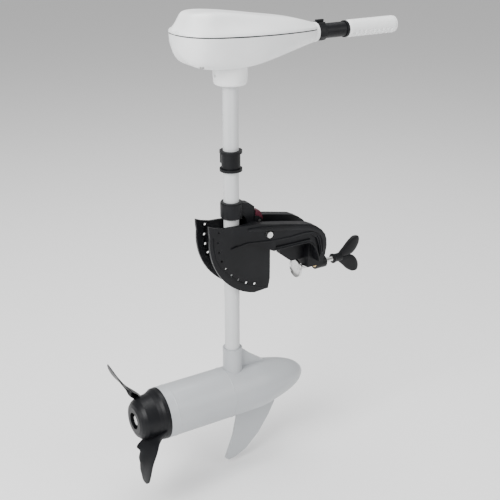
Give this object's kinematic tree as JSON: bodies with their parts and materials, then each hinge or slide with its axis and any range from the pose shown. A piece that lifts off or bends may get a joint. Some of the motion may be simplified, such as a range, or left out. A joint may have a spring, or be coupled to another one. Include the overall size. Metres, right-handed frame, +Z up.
{
  "type": "trolling motor",
  "caption": "Electric outboard trolling motor: tiller head on a long column, tilting transom clamp bracket, streamlined motor pod and two-blade propeller.",
  "frame": {"origin": "middle of the bracket's underside, where it rests on top of the boat's transom", "axes": "+X into the boat along the tiller, +Y to the port side seen from the boat, +Z up along the column"},
  "size_m": [0.5883, 0.1694, 0.9],
  "materials": {
    "acetal": "turned",
    "black_plastic": "fine grained moulding",
    "brass": "turned",
    "column_grey": "smooth composite tube",
    "copper": "wound",
    "graphite": "pressed",
    "grey_paint": "satin marine paint",
    "magnet": "ground",
    "red_plastic": "satin moulding",
    "rubber": "matt",
    "steel": "turned",
    "white_shell": "satin moulded shell"
  },
  "bodies": {
    "bracket": {"side_plate_left": "black_plastic", "side_plate_right": "black_plastic", "clamp_frame": "black_plastic", "frame_screws": "steel", "pivot_bolt": "steel", "pivot_nut": "steel", "thread_insert": "brass"},
    "swivel_head": {"swivel": "black_plastic", "lock_pin": "steel", "lever_pin": "steel"},
    "lever": {"release_lever": "red_plastic"},
    "tension": {"tension_knob": "black_plastic", "tension_stud": "steel"},
    "sleeve": {"steering_sleeve": "acetal"},
    "column": {"column_tube": "column_grey", "column_harness": "rubber", "harness_grommets": "rubber", "nose_cone": "grey_paint", "motor_tube": "grey_paint", "end_bell": "grey_paint", "through_bolts": "steel", "bearings": "steel", "shaft_seal": "rubber", "magnets": "magnet", "brushes": "graphite", "brush_plate": "black_plastic", "head_cover": "white_shell", "head_housing": "white_shell", "head_gasket": "rubber", "cover_screws": "steel", "neck": "white_shell", "neck_screw": "steel", "cable_gland": "black_plastic", "switch_body": "black_plastic", "nozzle_ring": "white_shell"},
    "collar": {"depth_collar": "black_plastic"},
    "collar_screw": {"depth_screw": "black_plastic"},
    "rotor": {"armature": "copper", "commutator": "brass", "motor_shaft": "steel", "drive_pin": "steel", "propeller": "black_plastic", "prop_washer": "steel", "prop_nut": "steel"},
    "speed_drive": {"switch_rotor": "acetal", "drive_bar": "steel"},
    "extension": {"extension_tube": "black_plastic"},
    "extension_ring": {"extension_lock": "black_plastic"},
    "twist_grip": {"grip": "white_shell", "grip_cap": "white_shell", "grip_core": "black_plastic"},
    "pad": {"clamp_pad": "steel"},
    "screw": {"clamp_screw": "steel", "clamp_knob": "black_plastic"}
  },
  "joints": [
    {"name": "tilt", "type": "hinge", "parent": "bracket", "child": "swivel_head", "pos_m": [-0.042, 0, 0.035], "axis": [0, 1, 0], "range_deg": [-10.9, 43.6]},
    {"name": "lever_pull", "type": "hinge", "parent": "swivel_head", "child": "lever", "pos_m": [-0.046, 0, 0.055], "axis": [0, 1, 0], "range_deg": [0, 22], "stiffness_Nm_per_rad": 0.4, "springref_deg": -14.32},
    {"name": "tension_turn", "type": "hinge", "parent": "swivel_head", "child": "tension", "pos_m": [-0.07808, 0.02192, 0.08], "axis": [0.7071, 0.7071, 0], "range_deg": [-180, 180]},
    {"name": "steering", "type": "hinge", "parent": "swivel_head", "child": "sleeve", "pos_m": [-0.1, 0, 0.084], "axis": [0, 0, 1], "range_deg": [-180, 180]},
    {"name": "depth", "type": "slide", "parent": "sleeve", "child": "column", "axis": [0, 0, 1], "range_m": [-0.028, 0.1]},
    {"name": "collar_slide", "type": "slide", "parent": "column", "child": "collar", "axis": [0, 0, 1], "range_m": [-0.028, 0.1]},
    {"name": "collar_screw_turn", "type": "hinge", "parent": "collar", "child": "collar_screw", "pos_m": [-0.1, 0.02, 0.177], "axis": [0, 1, 0], "range_deg": [-180, 180]},
    {"name": "propeller_spin", "type": "hinge", "parent": "column", "child": "rotor", "pos_m": [-0.29, 0, -0.2966], "axis": [1, 0, 0], "continuous": true},
    {"name": "twist", "type": "hinge", "parent": "extension", "child": "twist_grip", "pos_m": [0.2, 0, 0.3883], "axis": [1, 0, 0], "range_deg": [-75, 105]},
    {"name": "speed_drive_turn", "type": "hinge", "parent": "column", "child": "speed_drive", "pos_m": [-0.05, 0, 0.3883], "axis": [1, 0, 0], "range_deg": [-75.1, 105.1]},
    {"name": "extension_slide", "type": "slide", "parent": "column", "child": "extension", "axis": [1, 0, 0], "range_m": [0, 0.09]},
    {"name": "extension_ring_turn", "type": "hinge", "parent": "column", "child": "extension_ring", "pos_m": [0.086, 0, 0.3883], "axis": [1, 0, 0], "range_deg": [0, 30]},
    {"name": "clamp_turn", "type": "hinge", "parent": "pad", "child": "screw", "pos_m": [0.1, 0, -0.0665], "axis": [1, 0, 0], "range_deg": [-1086, 6]},
    {"name": "pad_travel", "type": "slide", "parent": "bracket", "child": "pad", "axis": [1, 0, 0], "range_m": [-0.018, 0]}
  ],
  "couplings": [
    {"joint": "speed_drive_turn", "follows": "twist", "ratio": 1},
    {"joint": "clamp_turn", "follows": "pad_travel", "rad_per_m": 1047.2}
  ]
}
